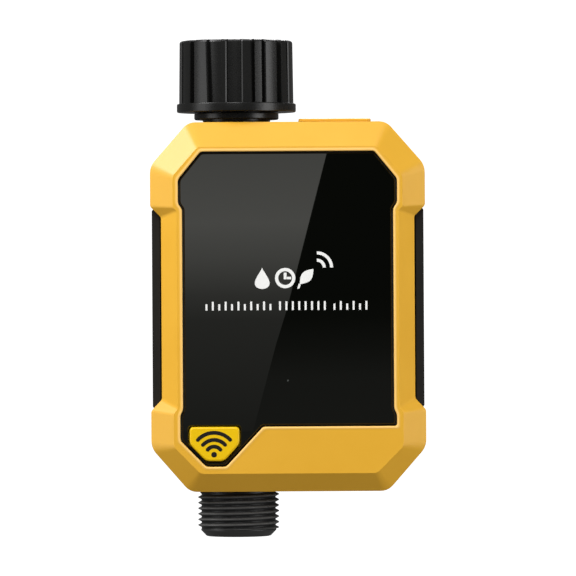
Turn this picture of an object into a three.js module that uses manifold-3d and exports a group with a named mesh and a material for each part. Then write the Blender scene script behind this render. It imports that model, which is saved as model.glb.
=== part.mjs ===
// Battery powered irrigation controller that screws onto a garden tap.
// Millimetres, +Z up, the front faces -Y and +X is to the right of the front.
// The pieces are drawn about the centre of the case and then moved together, so that the
// origin of the model is the sealing face of the tap washer, on the axis of the water way.
import * as THREE from 'three';
import { mergeVertices } from 'three/addons/utils/BufferGeometryUtils.js';
import Module from 'manifold-3d';

const wasm = await Module();
wasm.setup();

// ---------- driving dimensions ----------
const CASE_HALF_WIDTH = 44.6;
const CASE_HALF_HEIGHT = 60;
const WAIST_HALF_WIDTH = 41.1; // at the side notches that hold the grips
const CORNER_X = 32; // where the top and bottom edges meet the corner chamfers
const CORNER_Z = 45.5; // where the sides meet the corner chamfers
const FRONT_Y = -23; // flat land around the panel
const SHOULDER_Y = -17; // where the front facets meet the side walls
const BEZEL_BACK_Y = -4.3;
const SHELL_FRONT_Y = -3.4;
const BACK_Y = 25;
const WALL = 2.4;
const GAP = 0.3; // between pieces that touch
const PANEL_MARGIN = 0.65; // dark gap around the panel
const PANEL_FRONT_Y = -22.5;
const PANEL_BACK_Y = -20.7;
const CARRIER_FRONT_Y = -20.3;
const CARRIER_BACK_Y = -19;

const WATER_X = -16.5; // axis of the tap nut, the valve and the outlet
const BORE_R = 6.5;
const TUBE_R = 8.7;
const VALVE_Z = -20; // centre of the ball
const SEAL_Z = 73.6; // sealing face of the washer
const NUT_TOP_Z = 86.6;
const NUT_FLANGE_Z = 63.3;
const NUT_RIBS = 18;
const NUT_R = 18.4;
const NUT_ROOT_R = 17.1;
const NUT_FLANGE_R = 19.45;
const TAP_THREAD_R = 12.9; // crest of the G3/4 female thread
const COLLAR_R = 13.75;
const OUTLET_BOTTOM_Z = -74.7;
const THREAD_R = 13.22; // G3/4 male thread, 26.44 mm over the crests
const THREAD_ROOT_R = 12.06;
const THREAD_PITCH = 1.814;
const THREAD_TOP_Z = -61;
const OUTLET_TURNS = 6;

const GEAR_MODULE = 0.7;
const WHEEL_TEETH = 30;
const PINION_TEETH = 10;
const BACKLASH = 0.22;
const GEARBOX_X = [-38.4, -29]; // from its cover to its base plate
const GEARBOX_Y = [-12.7, 19.9];
const GEARBOX_Z = [-32.7, 9.7];
const MOTOR_Y = 14.2;

const DRAWER_X = 15.4; // middle of the battery drawer
const DRAWER_Y = 4.9;
const DRAWER_SIZE = [19.8, 32.4];
const DRAWER_Z = [-49.2, 59.4];
const CELL_R = 7.1;
const CELL_LENGTH = 50.5;
const CELL_PITCH = 15.2;
const CELL_BOTTOM_Z = -44.4;

const BOARD_Y = [-14.6, -13];
const CASE_SCREW = [37.8, 45.2]; // x and z of the four long screws, taken left, right, up and down
const BOARD_SCREWS = [[-25, 40], [31, 38.5], [31, -44], [-9, -47.5]];
const GEARBOX_SCREWS = [[-10.6, 7.6], [17.6, -30.6]];
const BUTTON_X = -23.9;
const BUTTON_Z = -44.2;

// ---------- finishes ----------
function finish(color, roughness, metalness = 0) {
  return new THREE.MeshStandardMaterial({ color, roughness, metalness });
}

const YELLOW = finish(0xe3aa3d, 0.45);
const BUTTON_YELLOW = finish(0xe8be0a, 0.4);
const GLASS_BLACK = finish(0x0b0b0a, 0.05);
const BLACK = finish(0x1c1c1b, 0.5);
const RUBBER = finish(0x202020, 0.85);
const WHITE_NYLON = finish(0xe4e2da, 0.5);
const PTFE = finish(0xf3f3ee, 0.6);
const CHROME = finish(0xd8d8d8, 0.15, 1);
const STEEL = finish(0xa9abad, 0.35, 1);
const BRASS = finish(0xc9a24c, 0.3, 1);
const BOARD_GREEN = finish(0x1e5c38, 0.5);
const CELL_WRAP = finish(0x2b6f8f, 0.4);
const LED_CLEAR = finish(0xdfe8e2, 0.2);

// ---------- solids ----------
function signedVolume(position, triangles) {
  const a = new THREE.Vector3();
  const b = new THREE.Vector3();
  const c = new THREE.Vector3();
  let volume = 0;
  for (const [i, j, k] of triangles) {
    a.fromBufferAttribute(position, i);
    b.fromBufferAttribute(position, j);
    c.fromBufferAttribute(position, k);
    volume += a.dot(b.cross(c)) / 6;
  }
  return volume;
}

function solid(geometry) {
  const bare = geometry.clone();
  bare.deleteAttribute('normal');
  bare.deleteAttribute('uv');
  const merged = geometry.userData.closed ? bare : mergeVertices(bare, 1e-4);
  const index = merged.index.array;
  const triangles = [];
  for (let t = 0; t < index.length; t += 3) {
    const [i, j, k] = [index[t], index[t + 1], index[t + 2]];
    if (i !== j && j !== k && k !== i) triangles.push([i, j, k]);
  }
  const position = merged.attributes.position;
  if (signedVolume(position, triangles) < 0) triangles.forEach((t) => t.reverse());
  return new wasm.Manifold(new wasm.Mesh({
    numProp: 3,
    vertProperties: new Float32Array(position.array),
    triVerts: new Uint32Array(triangles.flat()),
  }));
}

function join(...geometries) {
  return bodyOf(geometries.map(solid).reduce((sum, next) => sum.add(next)));
}

function cut(geometry, ...tools) {
  return bodyOf(tools.map(solid).reduce((rest, tool) => rest.subtract(tool), solid(geometry)));
}

function bodyOf(shape) {
  const mesh = shape.getMesh();
  const same = new Map(Array.from(mesh.mergeFromVert ?? [], (from, i) => [from, mesh.mergeToVert[i]]));
  const index = mesh.triVerts.map((vertex) => same.get(vertex) ?? vertex);
  const geometry = new THREE.BufferGeometry();
  geometry.setAttribute('position', new THREE.BufferAttribute(mesh.vertProperties, 3));
  geometry.setIndex(new THREE.BufferAttribute(index, 1));
  geometry.computeVertexNormals();
  geometry.userData.closed = true;
  return geometry;
}

// ---------- outlines: lists of [x, z] points, seen from the front ----------
function mirrored(rightHalf) {
  const leftHalf = rightHalf.map(([x, z]) => [-x, z]).reverse();
  return [...rightHalf, ...leftHalf];
}

// Every corner becomes an arc of the same number of points, so outlines can be lofted.
// Inside corners stay nearly sharp.
function rounded(points, outsideRadius, steps = 1) {
  const count = points.length;
  const turn = Math.sign(THREE.ShapeUtils.area(points.map(([x, y]) => ({ x, y }))));
  return points.flatMap((corner, i) => {
    const here = new THREE.Vector2(...corner);
    const before = new THREE.Vector2(...points[(i + count - 1) % count]).sub(here);
    const after = new THREE.Vector2(...points[(i + 1) % count]).sub(here);
    const radius = turn * after.cross(before) > 0 ? outsideRadius : 0.3;
    const reach = Math.min(radius, before.length() * 0.45, after.length() * 0.45);
    const start = here.clone().addScaledVector(before.normalize(), reach);
    const end = here.clone().addScaledVector(after.normalize(), reach);
    const arc = new THREE.QuadraticBezierCurve(start, here, end);
    return arc.getPoints(steps).map((p) => [p.x, p.y]);
  });
}

function inset(points, distance) {
  const count = points.length;
  const turn = Math.sign(THREE.ShapeUtils.area(points.map(([x, y]) => ({ x, y }))));
  return points.map((corner, i) => {
    const here = new THREE.Vector2(...corner);
    const into = here.clone().sub(new THREE.Vector2(...points[(i + count - 1) % count])).normalize();
    const out = new THREE.Vector2(...points[(i + 1) % count]).sub(here).normalize();
    const normal = new THREE.Vector2(-into.y - out.y, into.x + out.x).normalize();
    const spread = Math.max(0.5, normal.dot(new THREE.Vector2(-into.y, into.x)));
    const moved = here.addScaledVector(normal, (turn * distance) / spread);
    return [moved.x, moved.y];
  });
}

function rectangle([x0, x1], [z0, z1]) {
  return [[x0, z0], [x1, z0], [x1, z1], [x0, z1]];
}

const OUTER = mirrored([
  [CORNER_X, CASE_HALF_HEIGHT], [CASE_HALF_WIDTH, CORNER_Z], [CASE_HALF_WIDTH, 32.5],
  [WAIST_HALF_WIDTH, 29.1], [WAIST_HALF_WIDTH, -29.8], [CASE_HALF_WIDTH, -33.5],
  [CASE_HALF_WIDTH, -CORNER_Z], [CORNER_X, -CASE_HALF_HEIGHT],
]);
const RIDGE = mirrored([
  [28.8, 51.6], [37, 42.2], [37, 32.1], [35.7, 31], [35.7, -32.6], [37, -34.4], [37, -45], [28.4, -53.7],
]);
const OPENING = [
  [28, 50.06], [35.3, 41.1], [35.3, 33.4], [34, 31.5], [34, -33], [34.9, -34.9], [34.9, -38.6],
  [-8.2, -38.6], [-20.2, -51.45], [-26.6, -51.45], [-34.9, -43], [-34.9, -34.9], [-34, -33],
  [-34, 31.5], [-35.3, 33.4], [-35.3, 41.1], [-28, 50.06],
];
const BUTTON_OUTLINE = [
  [-31.9, -38.6], [-15.9, -38.6], [-15.9, -44.15], [-20.9, -49.6], [-26.7, -49.6], [-31.9, -44.15],
];
const EDGE_RADIUS = 2.6;
const outerEdge = (distance = 0) => rounded(inset(OUTER, distance), EDGE_RADIUS);
const ridgeEdge = (distance = 0) => rounded(inset(RIDGE, distance), 1.2);

// ---------- simple shapes ----------
function shapeOf(points, holes = []) {
  const vectors = (list, clockwise) => {
    const points2 = list.map(([x, y]) => new THREE.Vector2(x, y));
    return THREE.ShapeUtils.isClockWise(points2) === clockwise ? points2 : points2.reverse();
  };
  const shape = new THREE.Shape(vectors(points, false));
  shape.holes = holes.map((hole) => new THREE.Path(vectors(hole, true)));
  return shape;
}

function plate(points, [yFront, yBack], holes = []) {
  const geometry = new THREE.ExtrudeGeometry(shapeOf(points, holes), {
    depth: yBack - yFront, bevelEnabled: false,
  });
  return geometry.rotateX(Math.PI / 2).translate(0, yBack, 0);
}

// Levels run from the back to the front: [y, outline], all outlines with as many points.
function loft(levels) {
  const geometry = new THREE.ExtrudeGeometry(shapeOf(levels[0][1]), {
    depth: levels.length - 1, steps: levels.length - 1, bevelEnabled: false,
  });
  const position = geometry.attributes.position;
  const base = levels[0][1];
  for (let i = 0; i < position.count; i += 1) {
    const x = position.getX(i);
    const z = position.getY(i);
    const corner = base.findIndex((p) => Math.hypot(p[0] - x, p[1] - z) < 1e-4);
    const [y, outline] = levels[Math.round(position.getZ(i))];
    position.setXYZ(i, outline[corner][0], y, outline[corner][1]);
  }
  return geometry;
}

function block([x0, x1], [y0, y1], [z0, z1]) {
  const geometry = new THREE.BoxGeometry(x1 - x0, y1 - y0, z1 - z0);
  return geometry.translate((x0 + x1) / 2, (y0 + y1) / 2, (z0 + z1) / 2);
}

// A turned piece about the Z axis, from a profile of [radius, z] points.
function turned(profile, segments = 24) {
  const points = profile.map(([r, z]) => new THREE.Vector2(r, z));
  return new THREE.LatheGeometry(points, segments).rotateX(Math.PI / 2);
}

function rod(radius, [z0, z1], segments = 24) {
  return turned([[0, z0], [radius, z0], [radius, z1], [0, z1]], segments);
}

function ring(inner, outer, [z0, z1], segments = 24) {
  return turned([[inner, z0], [outer, z0], [outer, z1], [inner, z1], [inner, z0]], segments);
}

function onWaterAxis(geometry) {
  return geometry.translate(WATER_X, 0, 0);
}

// Turns a shape drawn along +Z so that it points along +X, with its own X and Y as Y and Z.
function alongX(geometry) {
  const turn = new THREE.Matrix4().makeBasis(
    new THREE.Vector3(0, 1, 0), new THREE.Vector3(0, 0, 1), new THREE.Vector3(1, 0, 0),
  );
  return geometry.applyMatrix4(turn);
}

// A pin along Y at a point of the front view.
function pinY(x, z, radius, [yFront, yBack], segments = 12) {
  return rod(radius, [-yBack, -yFront], segments).rotateX(Math.PI / 2).translate(x, 0, z);
}

// A pin along X at a point [y, z] of the side view.
function pinX(y, z, radius, [x0, x1], segments = 12) {
  return alongX(rod(radius, [x0, x1], segments)).translate(0, y, z);
}

// ---------- case ----------
function waterHoles() {
  return [
    onWaterAxis(rod(10.6, [50, 65])),
    onWaterAxis(rod(12.8, [-65, -50])),
  ];
}

function drawerHole() {
  const [width, depth] = DRAWER_SIZE;
  return block(
    [DRAWER_X - width / 2 - 0.6, DRAWER_X + width / 2 + 0.6],
    [DRAWER_Y - depth / 2 - 0.6, DRAWER_Y + depth / 2 + 0.6],
    [55, 65],
  );
}

function screwPlaces() {
  const [x, z] = CASE_SCREW;
  return [[-x, z], [x, z], [x, -z], [-x, -z]];
}

function frontBezel() {
  const skin = loft([
    [BEZEL_BACK_Y, outerEdge()], [SHOULDER_Y, outerEdge()], [FRONT_Y, ridgeEdge()],
  ]);
  const hollow = loft([
    [BEZEL_BACK_Y + 1, outerEdge(WALL)], [SHOULDER_Y + 1.5, outerEdge(WALL)], [-20.6, ridgeEdge()],
  ]);
  const opening = plate(OPENING, [FRONT_Y - 1, SHOULDER_Y]);
  const shell = cut(skin, hollow, opening, ...waterHoles(), drawerHole());
  const bosses = screwPlaces().map(([x, z]) => pinY(x, z, 3.6, [-18.6, BEZEL_BACK_Y]));
  const pilots = screwPlaces().map(([x, z]) => pinY(x, z, 1.8, [-16, BEZEL_BACK_Y + 1]));
  return cut(join(shell, ...bosses), ...pilots);
}

function rearShell() {
  const skin = loft([
    [BACK_Y, outerEdge(4)], [BACK_Y - 1.4, outerEdge(1.4)], [BACK_Y - 4, outerEdge()],
    [SHELL_FRONT_Y, outerEdge()],
  ]);
  const hollow = loft([[BACK_Y - WALL, outerEdge(WALL)], [SHELL_FRONT_Y - 1, outerEdge(WALL)]]);
  const shell = cut(skin, hollow, ...waterHoles(), drawerHole());
  const bosses = screwPlaces().map(([x, z]) => pinY(x, z, 3.8, [SHELL_FRONT_Y, BACK_Y - 1]));
  const bores = screwPlaces().map(([x, z]) => pinY(x, z, 1.8, [SHELL_FRONT_Y - 1, BACK_Y]));
  const sinks = screwPlaces().map(([x, z]) => pinY(x, z, 3.2, [BACK_Y - 3, BACK_Y + 1]));
  return cut(join(shell, ...bosses), ...bores, ...sinks);
}

// The joint gasket comes in two lengths, because the water way and the drawer interrupt it.
function caseSeal(side) {
  const loop = plate(outerEdge(0.8), [BEZEL_BACK_Y + GAP, SHELL_FRONT_Y - GAP], [outerEdge(WALL)]);
  const otherSide = [WATER_X, WATER_X - side * 80].sort((a, b) => a - b);
  const topGap = block([WATER_X, DRAWER_X + 11], [-6, -2], [50, 65]);
  return cut(loop, ...waterHoles(), block(otherSide, [-6, -2], [-70, 70]), topGap);
}

function sideGrip(side) {
  const outline = [[41.4, 28.3], [44.3, 31.2], [44.3, -32.2], [41.4, -29]];
  const pad = plate(outline.map(([x, z]) => [side * x, z]), [-14, 19]);
  return pad;
}

function panel() {
  const outline = inset(OPENING, PANEL_MARGIN);
  return plate(outline, [PANEL_FRONT_Y, PANEL_BACK_Y], [inset(BUTTON_OUTLINE, -0.4)]);
}

function panelCarrier() {
  const sheet = plate(inset(RIDGE, 0.4), [CARRIER_FRONT_Y, CARRIER_BACK_Y], [inset(BUTTON_OUTLINE, -0.4)]);
  const posts = BOARD_SCREWS.map(([x, z]) => pinY(x, z, 2.6, [CARRIER_BACK_Y - 0.1, BOARD_Y[0] - GAP]));
  const pilots = BOARD_SCREWS.map(([x, z]) => pinY(x, z, 1.2, [-18.4, BOARD_Y[0]]));
  return cut(join(sheet, ...posts), ...pilots, pinY(-0.2, -23.8, 0.9, [-21, -18]));
}

function button() {
  const cap = loft([
    [-18.7, rounded(BUTTON_OUTLINE, 1.3)], [-22.7, rounded(BUTTON_OUTLINE, 1.3)],
    [-23.1, rounded(inset(BUTTON_OUTLINE, 0.5), 1.1)],
  ]);
  const flange = plate(inset(BUTTON_OUTLINE, -1.2), [-18.7, -17.9]);
  return join(cap, flange);
}

function tactSwitch() {
  const body = block([BUTTON_X - 3, BUTTON_X + 3], [-16.4, BOARD_Y[0] - GAP], [BUTTON_Z - 3, BUTTON_Z + 3]);
  return join(body, pinY(BUTTON_X, BUTTON_Z, 1.7, [-17, -16]));
}

function countersunkScrew(x, z, headBack, tip, headRadius, shankRadius) {
  const head = pinY(x, z, headRadius, [headBack - 2, headBack], 14);
  const shank = pinY(x, z, shankRadius, [tip, headBack - 1.9], 10);
  const recess = pinY(x, z, headRadius * 0.45, [headBack - 1, headBack + 1], 6);
  return cut(join(head, shank), recess);
}

// ---------- electronics ----------
function circuitBoard() {
  const outline = [
    [34, 30], [30, 44], [-24, 44], [-28, 40], [-28, 12], [-28, -50], [-4, -50], [34, -50],
  ];
  const holes = BOARD_SCREWS.map(([x, z]) => pinY(x, z, 1.6, [BOARD_Y[0] - 1, BOARD_Y[1] + 1], 12));
  return cut(plate(outline, BOARD_Y), ...holes);
}

function wirelessModule() {
  const base = block([-9, 9], [-15.7, BOARD_Y[0] - GAP], [16, 42]);
  return join(base, block([-7.5, 7.5], [-17.6, -15.6], [17, 34]));
}

function statusLed() {
  return join(
    block([-1.6, 1.2], [-16, BOARD_Y[0] - GAP], [-25.2, -22.4]),
    pinY(-0.2, -23.8, 0.8, [-18, -15.9], 12),
  );
}

function reservoirCapacitor() {
  return alongX(rod(1.7, [10, 22], 20)).translate(0, -16.7, -10);
}

// ---------- battery drawer ----------
function drawerSpan(margin) {
  const [width, depth] = DRAWER_SIZE;
  return [
    [DRAWER_X - width / 2 - margin, DRAWER_X + width / 2 + margin],
    [DRAWER_Y - depth / 2 - margin, DRAWER_Y + depth / 2 + margin],
  ];
}

function batteryChamber() {
  const [zBottom] = DRAWER_Z;
  const sleeve = block(...drawerSpan(1.3), [zBottom - 1.3, 57.4]);
  return cut(sleeve, block(...drawerSpan(GAP), [zBottom - GAP, 60]));
}

function batteryCap() {
  const lid = block([3.7, 27.1], [-13, 23], [60.25, 60.94]);
  const plug = block(...drawerSpan(0), [59.7, 60.4]);
  return join(lid, plug);
}

function cellPlaces() {
  return [-0.5, 0.5].map((side) => DRAWER_Y + side * CELL_PITCH);
}

function batteryTray() {
  const [zBottom, zTop] = DRAWER_Z;
  const frame = block(...drawerSpan(0), DRAWER_Z);
  const pockets = cellPlaces().map((y) => rod(CELL_R + 0.25, [zBottom + 1.4, zTop - 2], 20)
    .translate(DRAWER_X, y, 0));
  const slots = cellPlaces().map((y) => block(
    [DRAWER_X, DRAWER_X + 12], [y - CELL_R - 0.25, y + CELL_R + 0.25], [zBottom + 1.4, zTop - 2],
  ));
  const [xSpan, ySpan] = drawerSpan(1);
  const band = cut(block(xSpan, ySpan, [58, 59]), block(...drawerSpan(-0.7), [57, 60]));
  const [first, second] = cellPlaces();
  const bridgeSlot = block([DRAWER_X - 4.3, DRAWER_X + 12], [first - 4.3, second + 4.3], [56.8, zTop - 2]);
  return cut(frame, ...pockets, ...slots, band, bridgeSlot);
}

function capSeal() {
  return cut(block(...drawerSpan(0.1), [58.1, 58.9]), block(...drawerSpan(-0.6), [57, 60]));
}

function batteryCell(y, bottom) {
  const top = bottom + CELL_LENGTH;
  const shoulder = top - 1.4;
  return turned([
    [0, bottom], [CELL_R - 0.5, bottom], [CELL_R, bottom + 0.5], [CELL_R, shoulder - 0.5],
    [CELL_R - 0.5, shoulder], [2.7, shoulder], [2.7, top], [0, top],
  ], 16).translate(DRAWER_X, y, 0);
}

function contactSpring(y) {
  const base = DRAWER_Z[0] + 1.7;
  return turned([[0, base], [5, base], [5, base + 0.5], [2, base + 2.7], [0, base + 2.7]], 16)
    .translate(DRAWER_X, y, 0);
}

function contactBridge() {
  const [first, second] = cellPlaces();
  return block([DRAWER_X - 4, DRAWER_X + 4], [first - 4, second + 4], [57, 57.2]);
}

// ---------- inlet ----------
function inletNut() {
  const blank = turned([
    [TAP_THREAD_R, NUT_TOP_Z], [TAP_THREAD_R, 66.5], [10.6, 66.5], [10.6, NUT_FLANGE_Z],
    [NUT_FLANGE_R - 0.6, NUT_FLANGE_Z], [NUT_FLANGE_R, NUT_FLANGE_Z + 0.6], [NUT_FLANGE_R, 65.5],
    [NUT_FLANGE_R - 0.6, 66.1], [NUT_R + 0.15, 66.1], [NUT_R, NUT_TOP_Z - 1], [NUT_R - 1, NUT_TOP_Z],
    [TAP_THREAD_R, NUT_TOP_Z],
  ], 54);
  const grooves = Array.from({ length: NUT_RIBS }, (_, i) => {
    const tool = block([NUT_ROOT_R, NUT_R + 2], [-1.2, 1.2], [66.4, NUT_TOP_Z + 1]);
    return tool.rotateZ(((i + 0.5) * 2 * Math.PI) / NUT_RIBS);
  });
  return onWaterAxis(cut(blank, ...grooves));
}

function inletTailpiece() {
  return onWaterAxis(turned([
    [BORE_R, 46], [9.9, 46], [9.9, 66.8], [12.3, 66.8], [12.3, 70.7], [BORE_R, 70.7], [BORE_R, 46],
  ]));
}

function inletCollar() {
  return onWaterAxis(turned([
    [10.2, 60.3], [11, 60.3], [11, 60.9], [COLLAR_R, 60.9], [COLLAR_R, 63], [10.2, 63], [10.2, 60.3],
  ]));
}

function filterScreen() {
  const dish = turned([[0, 68], [4, 68], [6, 70.2], [6, 70.4], [5.6, 70.4], [3.8, 68.4], [0, 68.4]], 20);
  return onWaterAxis(dish);
}

// ---------- valve ----------
function valveBody() {
  const outside = turned([
    [0, 57.3], [11.6, 57.3], [11.6, 44], [TUBE_R, 41], [TUBE_R, -4], [12.2, -8], [12.2, -36], [0, -36],
  ]);
  const bore = turned([
    [0, 58], [10.2, 58], [10.2, 45.7], [BORE_R, 45.7], [BORE_R, -9], [10.6, -9], [10.6, -37], [0, -37],
  ]);
  const boss = alongX(rod(6.4, [-12.1, -6])).translate(0, 0, VALVE_Z);
  const stemHole = alongX(rod(3.3, [-14, 0])).translate(0, 0, VALVE_Z);
  return onWaterAxis(cut(join(outside, boss), bore, stemHole));
}

function outletFitting() {
  const profile = [
    [BORE_R, -31], [10.3, -31], [10.3, -36.3], [12.2, -36.3], [12.2, -39], [TUBE_R, -41], [TUBE_R, -53],
    [12.3, -56], [12.3, -60.6],
  ];
  for (let turn = 0; turn < OUTLET_TURNS; turn += 1) {
    const z = THREAD_TOP_Z - turn * THREAD_PITCH;
    profile.push([THREAD_ROOT_R, z], [THREAD_R, z - THREAD_PITCH / 2]);
  }
  profile.push(
    [THREAD_ROOT_R, THREAD_TOP_Z - OUTLET_TURNS * THREAD_PITCH], [10.75, OUTLET_BOTTOM_Z],
    [BORE_R, OUTLET_BOTTOM_Z], [BORE_R, -31],
  );
  return onWaterAxis(turned(profile));
}

function ballSeat(zBottom, zTop) {
  return onWaterAxis(ring(5.6, 9.8, [zBottom, zTop]));
}

function valveBall() {
  const sphere = new THREE.SphereGeometry(8.6, 20, 10).translate(0, 0, VALVE_Z);
  const way = pinY(0, VALVE_Z, 5, [-10, 10], 20);
  const slot = block([-9, -6.4], [-3, 3], [VALVE_Z - 1.4, VALVE_Z + 1.4]);
  return onWaterAxis(cut(sphere, way, slot));
}

function valveStem() {
  const shaft = pinX(0, VALVE_Z, 2.9, [-30.4, WATER_X - 9.2], 20);
  const tongue = block([WATER_X - 9.3, WATER_X - 6.8], [-2.6, 2.6], [VALVE_Z - 1.05, VALVE_Z + 1.05]);
  const square = stemSquare(1.8, [-33.2, -30.3]);
  const groove = alongX(ring(2.2, 4, [-27.4, -26], 20)).translate(0, 0, VALVE_Z);
  return cut(join(shaft, tongue, square), groove);
}

function stemRing() {
  return alongX(ring(2.4, 3.15, [-27.2, -26.2], 20)).translate(0, 0, VALVE_Z);
}

// ---------- gear train ----------
const CENTRE_DISTANCE = (GEAR_MODULE * (WHEEL_TEETH + PINION_TEETH)) / 2;
const VALVE_AXIS = [0, VALVE_Z];
const REDUCTION_AXIS = [4, VALVE_Z + Math.sqrt(CENTRE_DISTANCE ** 2 - 4 ** 2)];
const MOTOR_AXIS = [
  MOTOR_Y,
  REDUCTION_AXIS[1] + Math.sqrt(CENTRE_DISTANCE ** 2 - (MOTOR_Y - REDUCTION_AXIS[0]) ** 2),
];
const LOW_LAYER = [-33.2, -30.7];
const HIGH_LAYER = [-36.2, -33.5];

function heading(from, to) {
  return Math.atan2(to[1] - from[1], to[0] - from[0]);
}

// Involute teeth: one tooth points along the gear's own X axis before it is turned by phase.
function gearOutline(teeth, phase) {
  const pitchR = (GEAR_MODULE * teeth) / 2;
  const pressure = THREE.MathUtils.degToRad(20);
  const baseR = pitchR * Math.cos(pressure);
  const involute = (angle) => Math.tan(angle) - angle;
  const halfTooth = Math.PI / (2 * teeth) - BACKLASH / (2 * pitchR);
  const radii = [pitchR - 1.2 * GEAR_MODULE, pitchR, pitchR + 0.85 * GEAR_MODULE];
  const flank = radii.map((r) => {
    const angle = r > baseR ? involute(Math.acos(baseR / r)) : 0;
    return [r, halfTooth + involute(pressure) - angle];
  });
  return Array.from({ length: teeth }, (_, i) => {
    const middle = phase + (i * 2 * Math.PI) / teeth;
    const rising = flank.map(([r, half]) => [r, middle - half]);
    const falling = flank.map(([r, half]) => [r, middle + half]).reverse();
    return [...rising, ...falling];
  }).flat().map(([r, angle]) => [r * Math.cos(angle), r * Math.sin(angle)]);
}

function gear(teeth, phase, [x0, x1], [y, z]) {
  const shape = shapeOf(gearOutline(teeth, phase));
  const wheel = new THREE.ExtrudeGeometry(shape, { depth: x1 - x0, bevelEnabled: false });
  return alongX(wheel.translate(0, 0, x0)).translate(0, y, z);
}

function stemSquare(half, span) {
  return block(span, [-half, half], [VALVE_Z - half, VALVE_Z + half]);
}

function valveGear() {
  const wheel = gear(WHEEL_TEETH, heading(VALVE_AXIS, REDUCTION_AXIS), LOW_LAYER, VALVE_AXIS);
  return cut(wheel, stemSquare(2.1, [-34, -30]));
}

function reductionGear() {
  const halfPitch = Math.PI / PINION_TEETH;
  const pinion = gear(
    PINION_TEETH, heading(REDUCTION_AXIS, VALVE_AXIS) + halfPitch, [-33.6, LOW_LAYER[1]], REDUCTION_AXIS,
  );
  const wheel = gear(WHEEL_TEETH, heading(REDUCTION_AXIS, MOTOR_AXIS), HIGH_LAYER, REDUCTION_AXIS);
  return cut(join(pinion, wheel), pinX(...REDUCTION_AXIS, 1.05, [-38, -30], 12));
}

function gearPin() {
  return pinX(...REDUCTION_AXIS, 0.8, [-37, -29.4], 12);
}

function motorPinion() {
  const phase = heading(MOTOR_AXIS, REDUCTION_AXIS) + Math.PI / PINION_TEETH;
  const pinion = gear(PINION_TEETH, phase, HIGH_LAYER, MOTOR_AXIS);
  return join(pinion, pinX(...MOTOR_AXIS, 1.2, [-33.6, -29.2], 12));
}

function motor() {
  const [y, z] = MOTOR_AXIS;
  const can = cut(
    block([-28.7, -13], [y - 5, y + 5], [z - 6, z + 6]),
    pinX(y, z, 1.6, [-30, -26], 12),
  );
  return join(can, block([-13.1, -12], [y - 3, y + 3], [z - 4, z + 4]));
}

function gearboxBase() {
  const sheet = block([GEARBOX_X[1] - 1.2, GEARBOX_X[1]], GEARBOX_Y, GEARBOX_Z);
  const screws = GEARBOX_SCREWS.map(([y, z]) => pinX(y, z, 1.3, [-32, -27], 12));
  return cut(
    sheet, pinX(0, VALVE_Z, 3.4, [-32, -27], 20), pinX(...MOTOR_AXIS, 1.7, [-32, -27], 12),
    pinX(...REDUCTION_AXIS, 1.1, [-32, -27], 12), ...screws,
  );
}

function gearboxCover() {
  const [xCover, xBase] = GEARBOX_X;
  const skin = block([xCover, xBase - 1.5], GEARBOX_Y, GEARBOX_Z);
  const [y0, y1] = GEARBOX_Y;
  const [z0, z1] = GEARBOX_Z;
  const hollow = block([xCover + 1.1, xBase], [y0 + 1.1, y1 - 1.1], [z0 + 1.1, z1 - 1.1]);
  const posts = GEARBOX_SCREWS.map(([y, z]) => pinX(y, z, 2, [xCover + 1, xBase - 1.5], 12));
  const pilots = GEARBOX_SCREWS.map(([y, z]) => pinX(y, z, 1.1, [-36, -28], 12));
  return cut(join(cut(skin, hollow), ...posts), ...pilots);
}

function gearboxScrew(y, z) {
  return join(pinX(y, z, 2, [-28.7, -27.6], 12), pinX(y, z, 0.8, [-35.5, -28.6], 10));
}

// ---------- assembly ----------
const controller = new THREE.Group();
controller.position.set(-WATER_X, 0, -SEAL_Z);

function add(name, geometry, material) {
  const mesh = new THREE.Mesh(geometry.userData.closed ? geometry : bodyOf(solid(geometry)), material);
  mesh.name = name;
  controller.add(mesh);
}

add('front_bezel', frontBezel(), YELLOW);
add('front_panel', panel(), GLASS_BLACK);
add('panel_carrier', panelCarrier(), BLACK);
add('button', button(), BUTTON_YELLOW);
add('tact_switch', tactSwitch(), BLACK);
add('rear_shell', rearShell(), BLACK);
add('case_seal_left', caseSeal(-1), RUBBER);
add('case_seal_right', caseSeal(1), RUBBER);
add('side_grip_left', sideGrip(-1), RUBBER);
add('side_grip_right', sideGrip(1), RUBBER);
screwPlaces().forEach(([x, z], i) => {
  add(`case_screw_${i + 1}`, countersunkScrew(x, z, BACK_Y - 0.7, -14, 2.8, 1.45), STEEL);
});

add('circuit_board', circuitBoard(), BOARD_GREEN);
add('wireless_module', wirelessModule(), STEEL);
add('status_led', statusLed(), LED_CLEAR);
add('reservoir_capacitor', reservoirCapacitor(), BLACK);
BOARD_SCREWS.forEach(([x, z], i) => {
  const [, boardBack] = BOARD_Y;
  add(`board_screw_${i + 1}`, join(
    pinY(x, z, 2, [boardBack + GAP, boardBack + 1.2], 12),
    pinY(x, z, 0.85, [-18, boardBack + 0.4], 10),
  ), STEEL);
});

add('battery_chamber', batteryChamber(), BLACK);
add('battery_cap', batteryCap(), YELLOW);
add('battery_tray', batteryTray(), BLACK);
add('cap_seal', capSeal(), RUBBER);
cellPlaces().forEach((y, column) => {
  add(`battery_cell_${column * 2 + 1}`, batteryCell(y, CELL_BOTTOM_Z), CELL_WRAP);
  add(`battery_cell_${column * 2 + 2}`, batteryCell(y, CELL_BOTTOM_Z + CELL_LENGTH + 0.2), CELL_WRAP);
  add(`contact_spring_${column + 1}`, contactSpring(y), STEEL);
});
add('contact_bridge', contactBridge(), STEEL);

add('inlet_nut', inletNut(), BLACK);
add('inlet_washer', onWaterAxis(ring(BORE_R, 12.2, [71, SEAL_Z])), RUBBER);
add('filter_screen', filterScreen(), STEEL);
add('inlet_tailpiece', inletTailpiece(), BLACK);
add('inlet_collar', inletCollar(), BLACK);

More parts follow.
